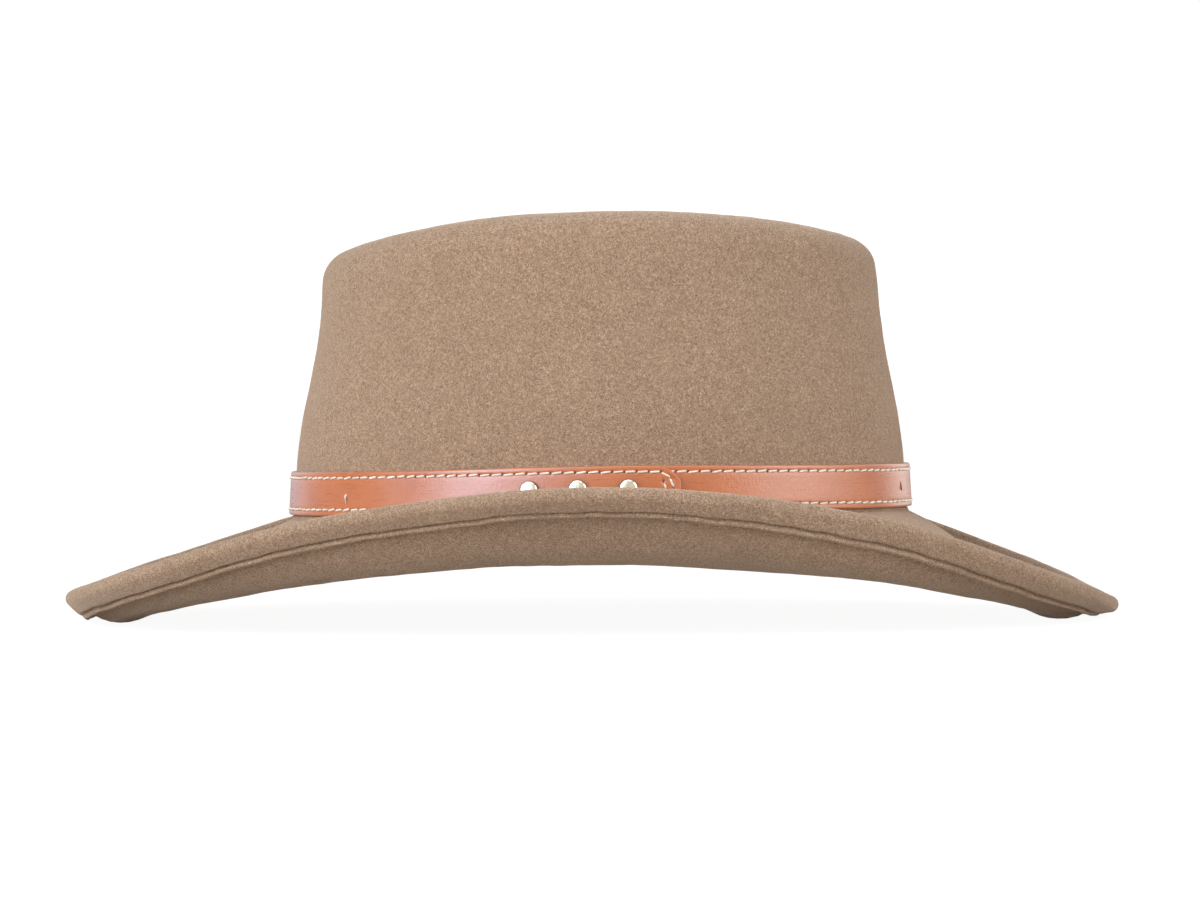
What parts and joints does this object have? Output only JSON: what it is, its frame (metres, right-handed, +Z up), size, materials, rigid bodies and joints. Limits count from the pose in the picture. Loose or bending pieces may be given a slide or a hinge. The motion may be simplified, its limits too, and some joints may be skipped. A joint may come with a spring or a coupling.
{
  "type": "gambler hat",
  "caption": "Wool felt gambler hat with a telescope crown, a dipped and side-curled brim with a folded edge, and a riveted leather strap band.",
  "frame": {"origin": "middle of the hat's outline in plan, on the surface it rests on", "axes": "+Z up through the crown, the hat's front towards -Y and its back towards +Y, the hat's left side with the strap end towards +X"},
  "size_m": [0.3128, 0.3488, 0.1328],
  "materials": {
    "felt": "matt wool felt",
    "leather": "semi-gloss saddle leather",
    "rivet_metal": "polished pale brass"
  },
  "bodies": {
    "root": {"felt_body": "felt", "hat_band": "leather", "rivet_front": "rivet_metal", "rivet_middle": "rivet_metal", "rivet_back": "rivet_metal"}
  },
  "joints": []
}
